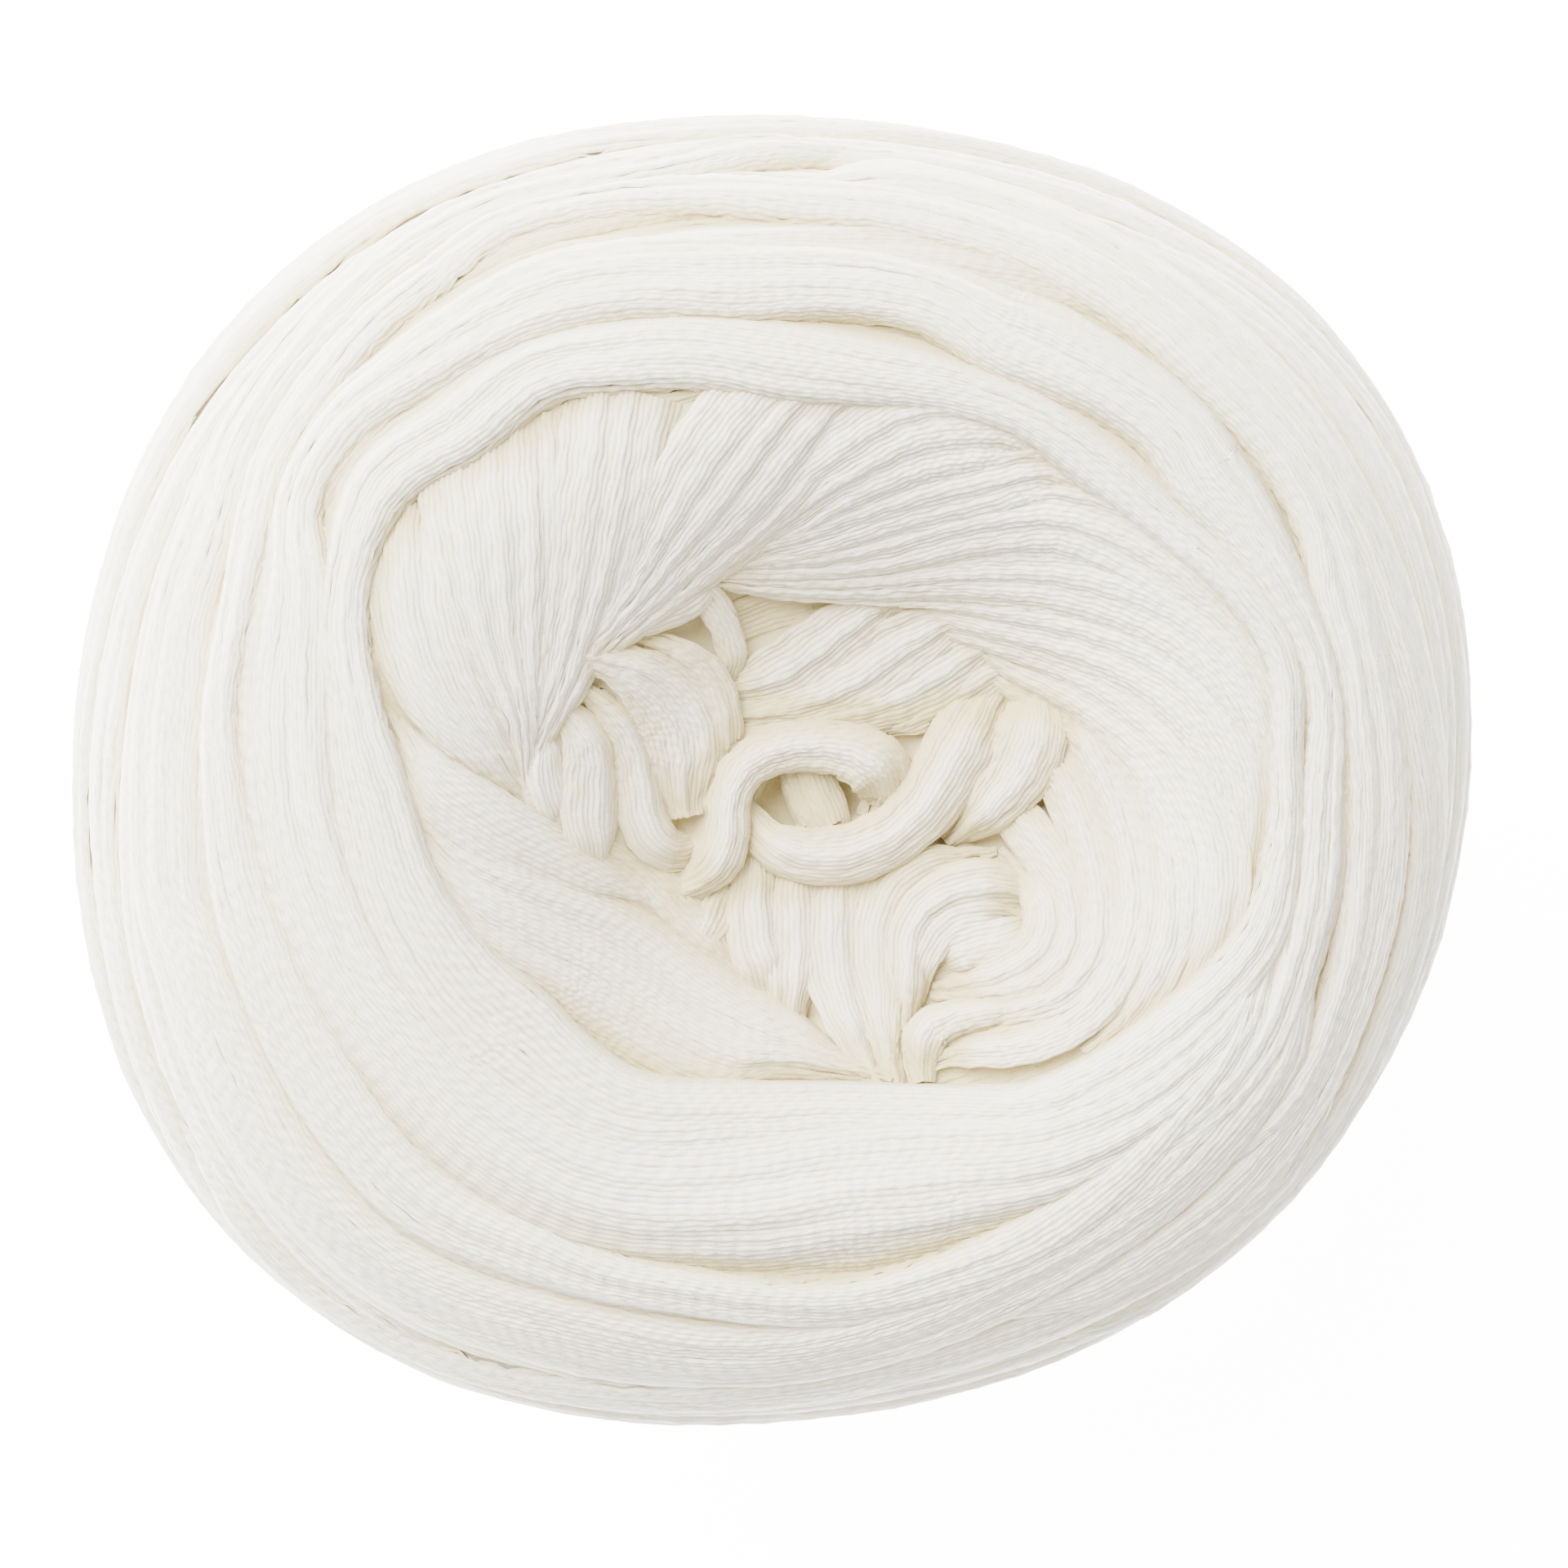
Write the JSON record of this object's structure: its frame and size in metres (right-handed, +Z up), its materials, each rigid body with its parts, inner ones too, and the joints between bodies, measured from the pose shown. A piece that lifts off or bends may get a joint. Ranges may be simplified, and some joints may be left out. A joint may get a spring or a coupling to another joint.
{
  "type": "yarn cake",
  "caption": "Flat round cake of soft off-white cotton yarn, wound in broad overlapping bands round a shallow hollow full of loose loops.",
  "frame": {"origin": "middle of the cake's plan box, on the surface that it lies on", "axes": "+Z up through the middle of the winding, out of the face with the hollow; X along the cake's wider way; +Y away"},
  "size_m": [0.141, 0.1314, 0.0708],
  "materials": {
    "cotton_yarn": "matt undyed cotton, fine soft threads"
  },
  "bodies": {
    "root": {"yarn_cake": "cotton_yarn"}
  },
  "joints": []
}
